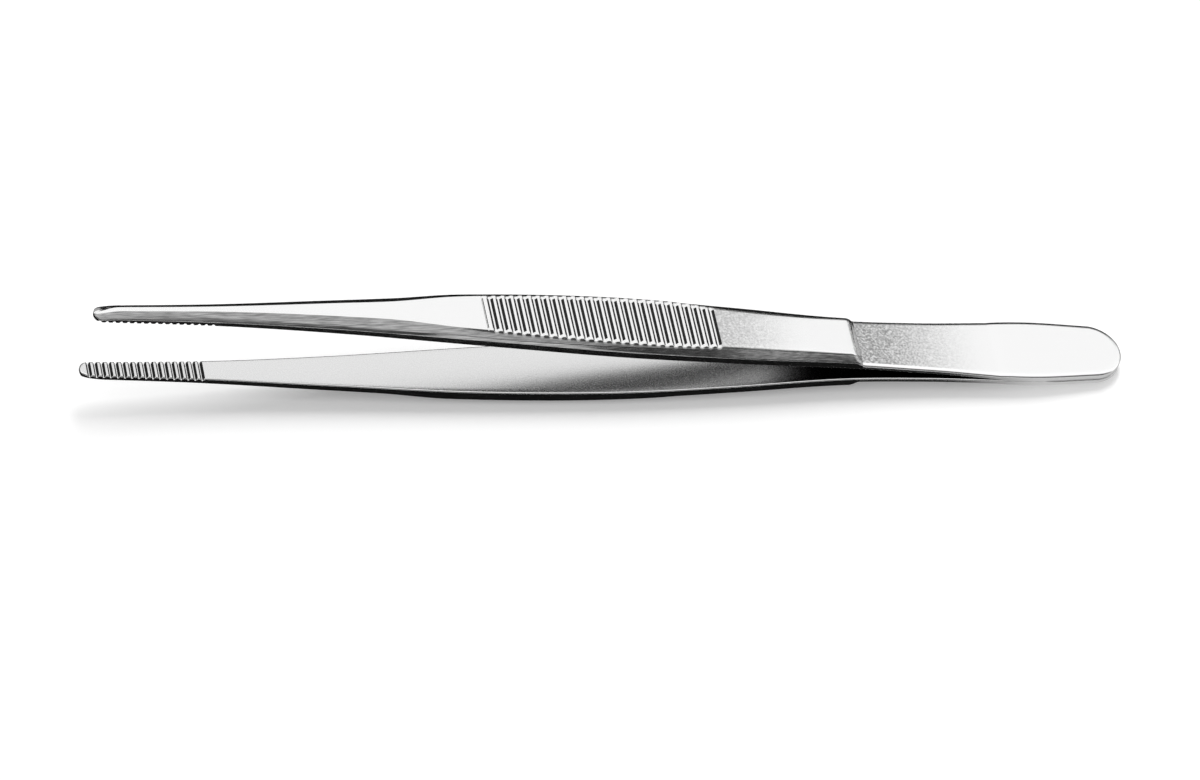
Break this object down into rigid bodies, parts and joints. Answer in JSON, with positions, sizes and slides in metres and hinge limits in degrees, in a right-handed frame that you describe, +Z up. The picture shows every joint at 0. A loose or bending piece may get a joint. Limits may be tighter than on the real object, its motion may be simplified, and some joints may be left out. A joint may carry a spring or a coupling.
{
  "type": "thumb forceps",
  "caption": "Straight thumb forceps of the plain dressing pattern: forged spring arms welded at the heel, with grooved thumb grips and blunt toothed jaws.",
  "frame": {"origin": "on the surface that the forceps lies on, under the middle of its length and width", "axes": "+X from the jaws to the heel, +Y across the arms, +Z up, square to the surface that it lies on"},
  "size_m": [0.1451, 0.0102, 0.0172],
  "materials": {
    "satin_steel": "satin"
  },
  "bodies": {
    "root": {"upper_arm": "satin_steel", "lower_arm": "satin_steel"}
  },
  "joints": []
}
